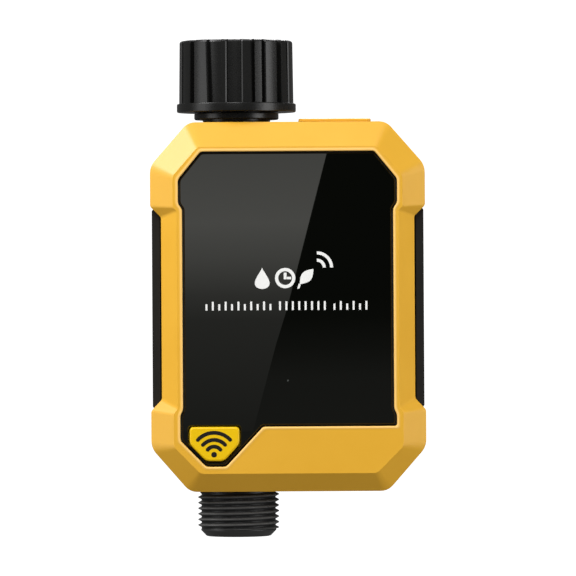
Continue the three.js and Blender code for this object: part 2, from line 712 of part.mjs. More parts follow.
add('valve_body', valveBody(), WHITE_NYLON);
add('valve_ball', valveBall(), CHROME);
add('ball_seat_upper', ballSeat(-13.1, -9.3), PTFE);
add('ball_seat_lower', ballSeat(-30.7, -26.9), PTFE);
add('valve_stem', valveStem(), BRASS);
add('stem_o_ring', stemRing(), RUBBER);
add('outlet_fitting', outletFitting(), BLACK);

add('gearbox_base', gearboxBase(), WHITE_NYLON);
add('gearbox_cover', gearboxCover(), WHITE_NYLON);
add('valve_gear', valveGear(), WHITE_NYLON);
add('reduction_gear', reductionGear(), WHITE_NYLON);
add('gear_pin', gearPin(), STEEL);
add('motor', motor(), STEEL);
add('motor_pinion', motorPinion(), BRASS);
GEARBOX_SCREWS.forEach(([y, z], i) => add(`gearbox_screw_${i + 1}`, gearboxScrew(y, z), STEEL));

export default controller;
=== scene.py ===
import math

import bmesh
import bpy
from mathutils import Matrix, Vector


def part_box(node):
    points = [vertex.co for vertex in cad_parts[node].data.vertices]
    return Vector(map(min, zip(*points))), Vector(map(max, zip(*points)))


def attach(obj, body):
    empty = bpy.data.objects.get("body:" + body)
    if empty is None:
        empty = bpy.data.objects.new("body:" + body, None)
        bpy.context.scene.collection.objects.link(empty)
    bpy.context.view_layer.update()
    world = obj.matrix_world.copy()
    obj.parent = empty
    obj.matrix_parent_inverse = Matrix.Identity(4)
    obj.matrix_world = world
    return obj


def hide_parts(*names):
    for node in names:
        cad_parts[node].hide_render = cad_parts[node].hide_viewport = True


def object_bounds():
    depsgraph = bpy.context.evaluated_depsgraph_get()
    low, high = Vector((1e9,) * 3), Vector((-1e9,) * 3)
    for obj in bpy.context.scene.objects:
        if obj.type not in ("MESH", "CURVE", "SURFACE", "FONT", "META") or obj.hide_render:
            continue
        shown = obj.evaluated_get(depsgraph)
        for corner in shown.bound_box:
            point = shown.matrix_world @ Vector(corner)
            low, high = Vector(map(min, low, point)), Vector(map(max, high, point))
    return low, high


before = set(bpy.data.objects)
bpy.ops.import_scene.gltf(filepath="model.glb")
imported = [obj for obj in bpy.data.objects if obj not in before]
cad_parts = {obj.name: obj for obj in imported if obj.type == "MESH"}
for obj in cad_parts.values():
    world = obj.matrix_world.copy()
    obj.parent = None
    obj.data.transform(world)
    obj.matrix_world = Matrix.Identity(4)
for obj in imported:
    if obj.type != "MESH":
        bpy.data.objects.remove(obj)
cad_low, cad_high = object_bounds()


# ---------------------------------------------------------------- rear shell
# The back half of the case, one injection moulding in black ABS with a fine spark finish.
# Its edge rolls over into a flat back, and four deep bores take the long case screws.
MM = 0.001
shell_low, shell_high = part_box("rear_shell")
case_centre = (shell_low + shell_high) / 2
case_half_width = (shell_high.x - shell_low.x) / 2 / MM - 0.2
case_half_height = (shell_high.z - shell_low.z) / 2 / MM - 0.3
shell_front = shell_low.y / MM
shell_back = shell_high.y / MM
waist_half_width = case_half_width - 3.5
case_wall = 2.1
back_wall = 2.4
screw_spot = (37.8, 45.2)
head_bore_radius = 3.3
head_bore_depth = 2.2


def mirrored(right_half):
    return right_half + [(-x, z) for x, z in reversed(right_half)]


def inset(points, distance):
    """The outline moved inwards by a distance, or outwards by a negative one."""
    count = len(points)
    area = sum(a[0] * b[1] - b[0] * a[1] for a, b in zip(points, points[1:] + points[:1]))
    side = 1 if area > 0 else -1
    moved = []
    for i, point in enumerate(points):
        here = Vector(point)
        into = (here - Vector(points[i - 1])).normalized()
        out = (Vector(points[(i + 1) % count]) - here).normalized()
        normal = Vector((-into.y - out.y, into.x + out.x)).normalized()
        spread = max(0.5, normal.dot(Vector((-into.y, into.x))))
        moved.append(tuple(here + normal * side * distance / spread))
    return moved


def rounded(points, radii, steps=5):
    """The outline with each corner turned into an arc of as many points."""
    count = len(points)
    smooth = []
    for i, point in enumerate(points):
        here = Vector(point)
        before = Vector(points[i - 1]) - here
        after = Vector(points[(i + 1) % count]) - here
        radius = radii[i % len(radii)] if isinstance(radii, (list, tuple)) else radii
        reach = min(radius, before.length * 0.45, after.length * 0.45)
        start = here + before.normalized() * reach
        end = here + after.normalized() * reach
        for step in range(steps + 1):
            t = step / steps
            smooth.append(tuple(start * (1 - t) ** 2 + here * 2 * t * (1 - t) + end * t ** 2))
    return smooth


CORNER, NOTCH = 2.4, 0.7
outer_points = mirrored([
    (32, case_half_height), (case_half_width, 45.5), (case_half_width, 32.5), (waist_half_width, 29.1),
    (waist_half_width, -29.8), (case_half_width, -33.5), (case_half_width, -45.5), (32, -case_half_height),
])
outer_radii = mirrored([(CORNER, 0)] * 2 + [(NOTCH, 0)] * 4 + [(CORNER, 0)] * 2)
outer_radii = [abs(radius) for radius, _ in outer_radii]


def case_outline(distance=0.0):
    return rounded(inset(outer_points, distance), outer_radii)


def ring(bm, outline, y):
    """A loop of points about the middle of the case, at a depth y behind the water axis."""
    return [bm.verts.new((case_centre.x + x * MM, y * MM, case_centre.z + z * MM)) for x, z in outline]


def wall_between(bm, ring_a, ring_b):
    count = len(ring_a)
    for i in range(count):
        j = (i + 1) % count
        bm.faces.new((ring_a[i], ring_a[j], ring_b[j], ring_b[i]))


def loft(bm, rings, capped=True):
    """Walls from each ring to the next, closed by a flat face at either end."""
    for a, b in zip(rings, rings[1:]):
        wall_between(bm, a, b)
    if capped:
        bm.faces.new(rings[0])
        bm.faces.new(rings[-1])


def make_object(name, bm):
    bmesh.ops.recalc_face_normals(bm, faces=bm.faces)
    mesh = bpy.data.meshes.new(name)
    bm.to_mesh(mesh)
    bm.free()
    piece = bpy.data.objects.new(name, mesh)
    bpy.context.collection.objects.link(piece)
    return piece


def apply_modifiers(piece):
    graph = bpy.context.evaluated_depsgraph_get()
    mesh = bpy.data.meshes.new_from_object(piece.evaluated_get(graph))
    piece.modifiers.clear()
    old = piece.data
    piece.data = mesh
    bpy.data.meshes.remove(old)
    mesh.name = piece.name


def settle(piece, sharp_degrees=32):
    """Makes the piece a plain mesh with soft and sharp edges, and keeps the shading of flat faces flat."""
    apply_modifiers(piece)
    piece.data.shade_smooth()
    piece.data.set_sharp_from_angle(angle=math.radians(sharp_degrees))
    flat = piece.modifiers.new("flat_faces", "WEIGHTED_NORMAL")
    flat.keep_sharp = True
    flat.weight = 90
    apply_modifiers(piece)
    return piece


def carve(piece, cutters):
    """Cuts the other objects out of the piece, and removes them."""
    for cutter in cutters:
        hole = piece.modifiers.new("hole", "BOOLEAN")
        hole.operation = "DIFFERENCE"
        hole.solver = "EXACT"
        hole.object = cutter
    settle(piece)
    for cutter in cutters:
        bpy.data.objects.remove(cutter)
    return piece


def round_bar(centre, radius, low, high, axis="Y", sides=48):
    """A plain cylinder for cutting or joining, between two heights along an axis, in millimetres."""
    bm = bmesh.new()
    turn = {"Z": Matrix.Identity(4), "Y": Matrix.Rotation(math.radians(-90), 4, "X")}[axis]
    middle = Matrix.Translation(Vector((0, 0, (low + high) / 2 * MM)))
    bmesh.ops.create_cone(bm, cap_ends=True, segments=sides, radius1=radius * MM, radius2=radius * MM,
                          depth=(high - low) * MM, matrix=turn @ middle)
    bmesh.ops.translate(bm, verts=bm.verts, vec=Vector(centre) * MM)
    return make_object("cutter", bm)


def box_between(low, high):
    bm = bmesh.new()
    size = Vector(high) - Vector(low)
    middle = (Vector(high) + Vector(low)) / 2
    bmesh.ops.create_cube(bm, size=1, matrix=Matrix.Translation(middle * MM) @ Matrix.Diagonal((*(size * MM), 1)))
    return make_object("cutter", bm)


def at_case(x, z):
    """Millimetres from the middle of the case, as millimetres in the model."""
    return case_centre.x / MM + x, case_centre.z / MM + z


def case_openings():
    """Cutters for the inlet, the outlet and the battery drawer."""
    top = case_centre.z / MM + case_half_height
    bottom = case_centre.z / MM - case_half_height
    tray_low, tray_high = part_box("battery_tray")
    low = tray_low / MM - Vector((0.6, 0.6, 0))
    high = tray_high / MM + Vector((0.6, 0.6, 0))
    return [
        round_bar((0, 0, 0), 10.6, top - 6, top + 3, "Z", 64),
        round_bar((0, 0, 0), 12.8, bottom - 3, bottom + 6, "Z", 64),
        box_between((low.x, low.y, top - 5), (high.x, high.y, top + 3)),
    ]


def soften(piece, width, segments=3):
    """A small radius on the edges that carry a bevel weight."""
    bevel = piece.modifiers.new("radius", "BEVEL")
    bevel.limit_method = "WEIGHT"
    bevel.width = width * MM
    bevel.segments = segments
    bevel.profile = 0.6
    bevel.harden_normals = False


def weigh_ring(bm, verts):
    layer = bm.edges.layers.float.get("bevel_weight_edge") or bm.edges.layers.float.new("bevel_weight_edge")
    count = len(verts)
    for i in range(count):
        edge = bm.edges.get((verts[i], verts[(i + 1) % count]))
        edge[layer] = 1.0


def shader(name, color, roughness, metallic=0.0, **sockets):
    """A new material with its Principled shader, whose even values sit on the shader's own sockets."""
    material = bpy.data.materials.new(name)
    material.use_nodes = True
    principled = material.node_tree.nodes["Principled BSDF"]
    principled.inputs["Base Color"].default_value = (*color, 1)
    principled.inputs["Roughness"].default_value = roughness
    principled.inputs["Metallic"].default_value = metallic
    for socket, value in sockets.items():
        principled.inputs[socket.replace("_", " ")].default_value = value
    return material, principled


def grain(material, principled, size, height, tint=None, gloss=None, detail=4.0, stretch=(1, 1, 1)):
    """Surface detail of one size, in millimetres: bump, with a slight change of tint and of gloss."""
    nodes = material.node_tree.nodes
    link = material.node_tree.links.new
    place = nodes.new("ShaderNodeTexCoord")
    mapping = nodes.new("ShaderNodeMapping")
    mapping.inputs["Scale"].default_value = stretch
    link(place.outputs["Object"], mapping.inputs["Vector"])
    fine = nodes.new("ShaderNodeTexNoise")
    fine.inputs["Scale"].default_value = 1 / (size * MM)
    fine.inputs["Detail"].default_value = detail
    link(mapping.outputs["Vector"], fine.inputs["Vector"])
    bump = nodes.new("ShaderNodeBump")
    bump.inputs["Strength"].default_value = 1.0
    bump.inputs["Distance"].default_value = height * MM
    link(fine.outputs["Fac"], bump.inputs["Height"])
    link(bump.outputs["Normal"], principled.inputs["Normal"])
    if tint:
        cloud = nodes.new("ShaderNodeTexNoise")
        cloud.inputs["Scale"].default_value = 60
        cloud.inputs["Detail"].default_value = 5
        link(mapping.outputs["Vector"], cloud.inputs["Vector"])
        ramp = nodes.new("ShaderNodeValToRGB")
        ramp.color_ramp.elements[0].position = 0.3
        ramp.color_ramp.elements[0].color = (*tint[0], 1)
        ramp.color_ramp.elements[1].position = 0.7
        ramp.color_ramp.elements[1].color = (*tint[1], 1)
        link(cloud.outputs["Fac"], ramp.inputs["Fac"])
        link(ramp.outputs["Color"], principled.inputs["Base Color"])
    if gloss:
        spread = nodes.new("ShaderNodeMapRange")
        spread.inputs["To Min"].default_value = gloss[0]
        spread.inputs["To Max"].default_value = gloss[1]
        link(fine.outputs["Fac"], spread.inputs["Value"])
        link(spread.outputs["Result"], principled.inputs["Roughness"])
    return material


def spark_black_plastic():
    material, principled = shader("spark_black_plastic", (0.013, 0.013, 0.012), 0.5)
    return grain(material, principled, 0.35, 0.02, ((0.011, 0.011, 0.010), (0.017, 0.017, 0.016)), (0.42, 0.58))


def finish_piece(piece, body, slot, material, *nodes):
    """Gives a piece its material and its body, and hides the plain solids that it stands for. The slot is not used.
    """
    piece.data.materials.clear()
    piece.data.materials.append(material)
    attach(piece, body)
    if nodes:
        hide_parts(*nodes)
    return piece


def finish_mesh(name, bm, sharp_degrees, *details):
    """A piece from its mesh, with its body and material, and its replaced solids hidden; the slot among the details
    is not used.
    """
    return finish_piece(settle(make_object(name, bm), sharp_degrees), *details)


def dress(material, *nodes):
    """Puts a material on plain solids that are shown as they are."""
    for node in nodes:
        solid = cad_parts[node]
        if not solid.material_slots:
            solid.data.materials.append(material)
        for slot in solid.material_slots:
            slot.material = material


def rear_shell():
    roll = 4.0
    bm = bmesh.new()
    rings = [ring(bm, case_outline(case_wall), shell_back - back_wall)]
    rings.append(ring(bm, case_outline(case_wall), shell_front))
    rings.append(ring(bm, case_outline(0.25), shell_front))
    rings.append(ring(bm, case_outline(), shell_front + 0.25))
    steps = 7
    for step in range(steps + 1):
        angle = math.radians(90 * step / steps)
        rings.append(ring(bm, case_outline(roll * (1 - math.cos(angle))),
                          shell_back - roll * (1 - math.sin(angle))))
    loft(bm, rings)
    piece = make_object("rear_shell_moulding", bm)
    bores = []
    for sx in (-1, 1):
        for sz in (-1, 1):
            x, z = at_case(sx * screw_spot[0], sz * screw_spot[1])
            bores.append(round_bar((x, 0, z), head_bore_radius, shell_back - head_bore_depth, shell_back + 2))
    carve(piece, case_openings() + bores)
    return finish_piece(piece, "case", "black_case", black_case, "rear_shell")


black_case = spark_black_plastic()
rear_shell()


# --------------------------------------------------------------------- bezel
# The yellow front half: one satin ABS moulding whose wide facets slope back from a narrow flat land.
# A thin raised bead runs round the opening, with a painted highlight along its crest, and the side notches leave
# room for the grips.
bezel_low, bezel_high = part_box("front_bezel")
bezel_back = bezel_high.y / MM
land_y = bezel_low.y / MM + 0.08
shoulder_y = -17.0
lip_back = -20.6
wall_front = -15.5
ridge_points = mirrored([
    (28.8, 51.6), (37, 42.2), (37, 32.1), (35.7, 31), (35.7, -32.6), (37, -34.4), (37, -45), (28.4, -53.7),
])
ridge_radii = [abs(r) for r, _ in mirrored([(1.2, 0)] * 2 + [(0.6, 0)] * 4 + [(1.2, 0)] * 2)]
opening_points = [
    (28, 50.06), (35.3, 41.1), (35.3, 33.4), (34, 31.5), (34, -33), (34.9, -34.9), (34.9, -38.6),
    (-8.2, -38.6), (-20.2, -51.45), (-26.6, -51.45), (-34.9, -43), (-34.9, -34.9), (-34, -33),
    (-34, 31.5), (-35.3, 33.4), (-35.3, 41.1), (-28, 50.06),
]


def opening_outline(distance):
    return rounded(inset(opening_points, distance), 0.8, 3)


def flat_between(bm, outside, inside):
    """A flat field with a hole in it."""
    edges = []
    for loop in (outside, inside):
        for a, b in zip(loop, loop[1:] + loop[:1]):
            edges.append(bm.edges.get((a, b)) or bm.edges.new((a, b)))
    bmesh.ops.triangle_fill(bm, use_beauty=True, edges=edges)


def mix_painted_light(material, principled, color):
    """Mixes the base colour towards a paler one by a value from 0 to 1 that the mesh carries: painted light, a
    painted highlight where the value is high.
    """
    nodes = material.node_tree.nodes
    link = material.node_tree.links.new
    painted_light = nodes.new("ShaderNodeAttribute")
    painted_light.attribute_name = "painted_light"
    pale = nodes.new("ShaderNodeMix")
    pale.data_type = "RGBA"
    plain = principled.inputs["Base Color"].links[0].from_socket
    link(painted_light.outputs["Fac"], pale.inputs["Factor"])
    link(plain, pale.inputs["A"])
    pale.inputs["B"].default_value = (*color, 1)
    link(pale.outputs["Result"], principled.inputs["Base Color"])
    return material


def satin_yellow_plastic():
    light, deep = (0.80, 0.43, 0.036), (0.77, 0.405, 0.03)
    material, principled = shader("satin_yellow_plastic", light, 0.34, IOR=1.4)
    grain(material, principled, 0.28, 0.006, (light, deep), (0.29, 0.38))
    # The pale orange is a painted highlight along the crest of the bead round the opening.
    return mix_painted_light(material, principled, (0.98, 0.60, 0.17))


def front_bezel():
    bm = bmesh.new()
    painted_light = bm.verts.layers.float.new("painted_light")
    ridge = rounded(ridge_points, ridge_radii)
    rings = [
        ring(bm, ridge, lip_back),
        ring(bm, case_outline(case_wall), wall_front),
        ring(bm, case_outline(case_wall), bezel_back),
        ring(bm, case_outline(0.25), bezel_back),
        ring(bm, case_outline(), bezel_back - 0.25),
        ring(bm, case_outline(), shoulder_y),
        ring(bm, ridge, land_y),
    ]
    loft(bm, rings, capped=False)
    bead = [(1.15, 0.0), (0.9, -0.04), (0.66, -0.11), (0.42, -0.14), (0.2, -0.1), (0.06, 0.0), (0.0, 0.14)]
    lip = [ring(bm, opening_outline(-out), land_y + rise) for out, rise in bead]
    # The crest of the bead is painted paler as a painted highlight. Its edges and the flat land stay plain.
    for loop, amount in zip(lip, (0, 0.2, 0.7, 1, 1, 0.7, 0)):
        for vert in loop:
            vert[painted_light] = amount
    lip.append(ring(bm, opening_outline(0), lip_back))
    loft(bm, lip, capped=False)
    flat_between(bm, rings[-1], lip[0])
    flat_between(bm, rings[0], lip[-1])
    weigh_ring(bm, rings[5])
    weigh_ring(bm, rings[6])
    piece = make_object("front_bezel_moulding", bm)
    soften(piece, 0.55, 4)
    carve(piece, case_openings())
    return finish_piece(piece, "case", "yellow_case", yellow_case, "front_bezel")


yellow_case = satin_yellow_plastic()
front_bezel()


# --------------------------------------------------------------- front panel
# A black acrylic sheet with polished edges, glued to a carrier plate behind the bezel.
# It leaves a dark gap all round, and carries white printed marks and a pin-sized status window.
panel_low, panel_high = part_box("front_panel")
panel_front = panel_low.y / MM
panel_back = panel_high.y / MM
key_points = [
    (-31.9, -38.6), (-15.9, -38.6), (-15.9, -44.15), (-20.9, -49.6), (-26.7, -49.6), (-31.9, -44.15),
]


def sheet_with_hole(bm, outer, hole, front, back, edge):
    """A flat sheet with a small polished chamfer round its front edges."""
    outside = [ring(bm, outer(edge), front), ring(bm, outer(0), front + edge), ring(bm, outer(0), back)]
    inside = [ring(bm, hole(-edge), front), ring(bm, hole(0), front + edge), ring(bm, hole(0), back)]
    for rings in (outside, inside):
        loft(bm, rings, capped=False)
    flat_between(bm, outside[0], inside[0])
    flat_between(bm, outside[-1], inside[-1])


def polished_black_acrylic():
    material, principled = shader("polished_black_acrylic", (0.0013, 0.0016, 0.001), 0.004, IOR=1.49)
    return grain(material, principled, 30, 0.00005, None, (0.002, 0.006), 0.0)


def front_panel():
    bm = bmesh.new()
    sheet_with_hole(
        bm,
        lambda d: rounded(inset(opening_points, 0.65 + d), 0.7, 3),
        lambda d: rounded(inset(key_points, -0.45 + d), 1.5, 5),
        panel_front, panel_back, 0.22,
    )
    return finish_mesh("front_panel_sheet", bm, 32, "case", "black_panel", black_panel, "front_panel")


black_panel = polished_black_acrylic()
front_panel()
dress(black_case, "panel_carrier")


# ------------------------------------------------------------- printed marks
# White screen printing on the panel: a drop, a clock and a leaf for water, time and garden,
# two signal arcs beside them, and a plain scale of short ticks below. A clear dot shows the status light.
ink_thickness = 0.03
tick_step = 2.06
tick_width = 0.62


def ink_patch(bm, outline, y, thickness=ink_thickness):
    """A thin closed patch of ink on a flat face that looks to the front."""
    front = ring(bm, outline, y - thickness)
    back = ring(bm, outline, y)
    wall_between(bm, front, back)
    bm.faces.new(front)
    bm.faces.new(back)


def on_circle(centre, radius, angles):
    return [(centre[0] + radius * math.cos(a), centre[1] + radius * math.sin(a)) for a in angles]


def swept(start, end, steps):
    """Even steps between two angles in degrees, given in radians."""
    return [math.radians(start + (end - start) * i / steps) for i in range(steps + 1)]


def arc_band(centre, radius, width, start, end, steps=20):
    """A curved stroke with square ends, between two angles in degrees."""
    sweep = swept(start, end, steps)
    return on_circle(centre, radius + width / 2, sweep) + on_circle(centre, radius - width / 2, reversed(sweep))


def disc(centre, radius, steps=32):
    return on_circle(centre, radius, [2 * math.pi * i / steps for i in range(steps)])


def bar(x0, x1, z0, z1):
    return [(x0, z0), (x1, z0), (x1, z1), (x0, z1)]


def drop_outline(centre, height, steps=40):
    """A water drop: a round foot that narrows to a point."""
    points = []
    for i in range(steps):
        a = 2 * math.pi * i / steps
        width = 0.30 * height * math.sin(a) * (1 - math.cos(a)) ** 0.9 / 1.25
        points.append((centre[0] + width * 1.15, centre[1] + height / 2 * math.cos(a)))
    return points


def leaf_outline(centre, length, width, lean, steps=16):
    """A pointed leaf made of two arcs, leaning by an angle in degrees."""
    half = [(length * (i / steps - 0.5), width / 2 * math.sin(math.pi * i / steps)) for i in range(steps + 1)]
    points = half + [(x, -z) for x, z in reversed(half[1:-1])]
    c, s = math.cos(math.radians(lean)), math.sin(math.radians(lean))
    return [(centre[0] + x * c - z * s, centre[1] + x * s + z * c) for x, z in points]


def white_ink():
    material, principled = shader("white_ink", (0.86, 0.86, 0.84), 0.55)
    return grain(material, principled, 0.2, 0.004, ((0.84, 0.84, 0.82), (0.9, 0.9, 0.88)), (0.5, 0.62))


def panel_marks():
    row = 9.2
    bm = bmesh.new()
    y = panel_front
    ink_patch(bm, drop_outline((-8.3, row), 6.9), y)
    ink_patch(bm, arc_band((-0.9, row), 2.75, 1.05, 0, 179.9), y)
    ink_patch(bm, arc_band((-0.9, row), 2.75, 1.05, 180, 359.9), y)
    ink_patch(bm, bar(-1.35, -0.45, row - 0.4, row + 1.75), y)
    ink_patch(bm, bar(-0.35, 1.0, row - 0.4, row + 0.4), y)
    ink_patch(bm, leaf_outline((6.0, row + 0.45), 6.6, 3.4, 48), y)
    ink_patch(bm, [(3.5, row - 1.75), (2.95, row - 3.4), (3.65, row - 3.4), (4.1, row - 2.15)], y)
    for radius in (2.35, 4.7):
        ink_patch(bm, arc_band((9.35, 12.55), radius, 0.98, 0, 90), y)
    tick = 0
    for group in (11, 8, 6):
        for _ in range(group):
            x = -26.6 + tick * tick_step
            tall = 1.7 if tick % 2 else 0.9
            ink_patch(bm, bar(x, x + tick_width, -1.1, tall), y)
            tick += 1
        tick += 0.5
    return finish_mesh("panel_marks", bm, 32, "case", "white_nylon", white_ink())


def smoked_lens():
    material, principled = shader("smoked_lens", (0.05, 0.055, 0.05), 0.2, IOR=1.5)
    return grain(material, principled, 0.3, 0.002, ((0.045, 0.05, 0.045), (0.06, 0.065, 0.06)), (0.15, 0.28))


def status_window():
    """A dot left clear in the panel for the status light, almost flush with its face."""
    led_low, led_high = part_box("status_led")
    middle = ((led_low + led_high) / 2 - case_centre) / MM
    bm = bmesh.new()
    ink_patch(bm, disc((middle.x, middle.z), 0.32), panel_front)
    return finish_mesh("status_window", bm, 32, "case", "led_lens", smoked_lens())


panel_marks()
status_window()


# -------------------------------------------------------------------- button
# The yellow push key, a shield shaped cap that slides in the panel's opening on a flange behind it.
# It carries a black printed signal mark, and presses a small tact switch on the board.
key_low, key_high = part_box("button")
key_front = key_low.y / MM
key_back = key_high.y / MM
key_flange = key_back - 0.8
key_round = 1.35
mark_centre = (-24.1, -47.5)


def satin_key_plastic():
    light, deep = (0.86, 0.54, 0.002), (0.82, 0.51, 0.001)
    material, principled = shader("satin_key_plastic", light, 0.32, IOR=1.35)
    return grain(material, principled, 0.3, 0.004, (light, deep), (0.28, 0.38))


def push_key():
    bm = bmesh.new()

    def level(distance, y):
        return ring(bm, rounded(inset(key_points, distance), key_round), y)

    rings = [
        level(-1.2, key_back), level(-1.2, key_flange), level(0, key_flange), level(0, key_front + 0.62),
        level(0.06, key_front + 0.38), level(0.22, key_front + 0.16), level(0.48, key_front + 0.05),
        level(0.75, key_front + 0.03), level(0.95, key_front + 0.08),
    ]
    loft(bm, rings)
    return finish_mesh("push_key", bm, 32, "key", "yellow_button", satin_key_plastic(), "button")


def round_ended_arc(centre, radius, width, half_angle, steps=22):
    """A signal arc over a point: a curved stroke with round ends."""
    sweep = swept(90 - half_angle, 90 + half_angle, steps)

    def cap(angle, turned):
        tip = on_circle(centre, radius, [angle])[0]
        return on_circle(tip, width / 2, [angle + math.radians(180 * k / 8 + turned) for k in range(1, 8)])

    outer = on_circle(centre, radius + width / 2, sweep)
    inner = on_circle(centre, radius - width / 2, reversed(sweep))
    return outer + cap(sweep[-1], 0) + inner + cap(sweep[0], 180)


def black_ink():
    material, principled = shader("black_ink", (0.006, 0.0055, 0.004), 0.5, IOR=1.35)
    return grain(material, principled, 0.2, 0.004, None, (0.4, 0.52))


def key_mark():
    bm = bmesh.new()
    face = key_front + 0.08
    ink_patch(bm, disc(mark_centre, 0.9, 24), face, 0.05)
    for radius, half_angle in ((2.6, 52), (4.75, 48.5), (7.05, 47.5)):
        ink_patch(bm, round_ended_arc(mark_centre, radius, 1.22, half_angle), face, 0.05)
    return finish_mesh("key_mark", bm, 32, "key", "black_fitting", black_ink())


push_key()
key_mark()


# --------------------------------------------------------------- side grips
# Two soft-touch rubber inserts that fill the waist of the case, with cross ribs for wet fingers.
# Each is pressed over the wall of both case halves and has slanted ends like the notch.
grip_depth = 0.45
grip_pitch = 3.6


def grip_outline(side, groove):
    """The pad seen from the front, with the cross grooves sunk into its outer edge by a depth."""
    low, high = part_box("side_grip_right")
    outer = (high.x - case_centre.x) / MM - 0.35
    inner = (low.x - case_centre.x) / MM
    top, bottom = 32.0, -33.0
    points = [(inner, 29.2), (outer - 0.5, top - 0.2), (outer, top - 0.9)]
    count = int((top - bottom - 6) / grip_pitch)
    start = (top + bottom) / 2 + count * grip_pitch / 2
    for i in range(count + 1):
        z = start - i * grip_pitch
        points += [(outer, z + 0.75), (outer - groove, z + 0.4), (outer - groove, z - 0.4), (outer, z - 0.75)]
    points += [(outer, bottom + 0.9), (outer - 0.5, bottom + 0.2), (inner, -30)]
    return [(side * x, z) for x, z in points]


def soft_black_rubber():
    material, principled = shader("soft_black_rubber", (0.01, 0.01, 0.0096), 0.78, IOR=1.4)
    return grain(material, principled, 0.22, 0.012, ((0.0045, 0.0045, 0.0042), (0.008, 0.008, 0.0075)), (0.7, 0.86))


def side_grip(side, name, node, material):
    low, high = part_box(node)
    front, back = low.y / MM, high.y / MM
    bm = bmesh.new()
    rings = [
        ring(bm, grip_outline(side, 0), front), ring(bm, grip_outline(side, 0), front + 3),
        ring(bm, grip_outline(side, grip_depth), front + 3.5), ring(bm, grip_outline(side, grip_depth), back - 3.5),
        ring(bm, grip_outline(side, 0), back - 3), ring(bm, grip_outline(side, 0), back),
    ]
    loft(bm, rings)
    return finish_mesh(name, bm, 25, "case", "rubber_grip", material, node)


rubber = soft_black_rubber()
side_grip(-1, "grip_left", "side_grip_left", rubber)
side_grip(1, "grip_right", "side_grip_right", rubber)
dress(rubber, "case_seal_left", "case_seal_right", "inlet_washer", "stem_o_ring", "cap_seal")


# ----------------------------------------------------------------- tap fitting
# The swivel nut is a black glass filled nylon moulding with broad finger lands, closed below by a flange.
# It turns on the head of the tailpiece and draws the tap's end face down onto a rubber washer.
nut_low, nut_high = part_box("inlet_nut")
nut_top = nut_high.z / MM
nut_bottom = nut_low.z / MM
nut_flange_radius = 19.4
nut_land_radius = 18.4
nut_floor_radius = 16.9
nut_skirt = nut_bottom + 2.8
tap_thread_pitch = 1.814
# Each land: where it starts and ends in degrees from the front, and how far its end leans out below.
nut_lands = [(-88, -75, 0), (-68.5, -54, 0), (-47.5, -31, 2.2), (-15, -9.2, 0), (6, 15.6, 1.4), (18.6, 28, 0),
             (31, 46.5, 0), (53.5, 63, 2.0), (67, 84, 0)]


def turned_rings(bm, rows, angles):
    """Closed skin of revolution: each row gives (radius, height) for an angle, and the last meets the first."""
    loops = []
    for row in rows:
        loop = []
        for a in angles:
            radius, height, *lean = row(a) if callable(row) else row
            turn = math.radians(a + sum(lean))
            loop.append(bm.verts.new((radius * MM * math.sin(turn), -radius * MM * math.cos(turn), height * MM)))
        loops.append(loop)
    for a, b in zip(loops, loops[1:] + loops[:1]):
        wall_between(bm, a, b)


def even_angles(count):
    return [-180 + 360 * i / count for i in range(count)]


def moulded_black_nylon(name, shade, highlight_tone, gloss):
    material, principled = shader(name, (shade, shade, shade * 0.95), 0.3, IOR=1.4)
    tints = [tuple(shade * part * factor for part in (1, 1, 0.94)) for factor in (0.8, 1.2)]
    grain(material, principled, 0.5, 0.006, tints, gloss)
    # Where a mesh carries the painted light value, the colour is mixed towards a lighter grey as a painted
    # highlight. The nut, the collar and the tailpiece carry none.
    return mix_painted_light(material, principled, (highlight_tone, highlight_tone, highlight_tone * 0.98))


def nut_angles():
    """Breaks at the edges of every land, with steps between them that follow the curve."""
    breaks = set()
    for half in (0, 180):
        for start, end, _ in nut_lands:
            for a in (start - 0.8, start, start + 1.1, end - 1.1, end, end + 0.8):
                breaks.add(round(a + half, 3))
    angles = sorted(breaks)
    filled = []
    for a, b in zip(angles, angles[1:] + [angles[0] + 360]):
        pieces = max(1, math.ceil((b - a) / 4))
        filled += [a + (b - a) * i / pieces for i in range(pieces)]
    return filled


def land_height(angle, drop):
    """How far out the nut is at an angle: 0 on a groove floor, 1 on a land, rounded at its edges."""
    turn = (angle + 90) % 180 - 90
    for start, end, lean in nut_lands:
        shift = lean * drop * max(0.0, min(1.0, (turn - (start + end) / 2) / max(0.1, (end - start) / 2 - 1.1)))
        if start - 0.8 <= turn <= end + 0.8:
            edge = min(turn - start, end - turn)
            return shift, min(1.0, 0.83 + edge * 0.16) if edge >= 0 else 0.0
    return 0.0, 0.0


